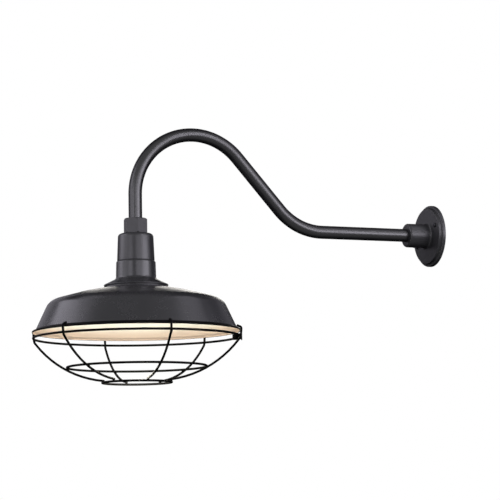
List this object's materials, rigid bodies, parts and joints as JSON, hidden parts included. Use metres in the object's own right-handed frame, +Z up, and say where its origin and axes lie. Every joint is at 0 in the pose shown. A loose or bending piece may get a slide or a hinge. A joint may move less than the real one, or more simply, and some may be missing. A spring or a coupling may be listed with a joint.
{
  "type": "gooseneck wall light",
  "caption": "Outdoor wall light: round canopy, bent tube arm, hex coupling, socket cap, spun metal shade and a hooked wire guard with a clamp.",
  "frame": {"origin": "centre of the canopy's back on the wall plane, on the arm's axis at the wall", "axes": "+Y points into the wall, the arm reaches out along -Y, +Z is up, +X is to the right seen from in front of the wall"},
  "size_m": [0.415, 0.8652, 0.5083],
  "materials": {
    "black_cast": "satin black powder coat on cast aluminium",
    "black_tube": "satin black powder coat on drawn tube",
    "black_sheet": "satin black powder coat outside, warm white enamel inside",
    "black_wire": "satin black coated steel wire",
    "foam": "closed-cell foam",
    "silicone": "matt silicone",
    "blackened_screw": "blackened steel",
    "plated_screw": "zinc plated",
    "green_screw": "green dyed steel",
    "ceramic": "glazed white",
    "brass": "plain",
    "nickel": "nickel plated",
    "spring_steel": "bright spring wire",
    "black_insulation": "glass braid sleeved",
    "white_insulation": "glass braid sleeved"
  },
  "bodies": {
    "fixture": {"canopy": "black_cast", "wall_gasket": "foam", "canopy_screws": "blackened_screw", "hub_set_screws": "plated_screw", "ground_screw": "green_screw", "gooseneck_tube": "black_tube", "hex_coupling": "black_cast", "coupling_set_screw": "plated_screw", "socket_cap": "black_cast", "neck_seal": "silicone", "shade": "black_sheet", "shade_screws": "plated_screw", "lampholder_body": "ceramic", "screw_shell": "nickel", "holder_screws": "plated_screw", "contact_spring": "spring_steel", "line_terminal": "brass", "neutral_terminal": "nickel", "black_lead": "black_insulation", "white_lead": "white_insulation"},
    "contact": {"centre_contact": "brass"},
    "guard": {"guard_top_ring": "black_wire", "guard_middle_ring": "black_wire", "guard_bottom_ring": "black_wire", "guard_rib_1": "black_wire", "guard_rib_2": "black_wire", "guard_rib_3": "black_wire", "guard_rib_4": "black_wire", "guard_rib_5": "black_wire", "guard_rib_6": "black_wire", "clamp_strap": "black_wire", "clamp_lug": "black_wire", "clamp_screw": "plated_screw", "clamp_nut": "plated_screw"}
  },
  "joints": [
    {"name": "contact_press", "type": "slide", "parent": "fixture", "child": "contact", "axis": [0, 0, 1], "range_m": [0, 0.0018], "stiffness_N_per_m": 1500, "springref_m": -0.001, "deforming": ["contact_spring"]},
    {"name": "guard_turn", "type": "hinge", "parent": "fixture", "child": "guard", "pos_m": [0, -0.65, -0.22], "axis": [0, 0, 1], "continuous": true}
  ]
}
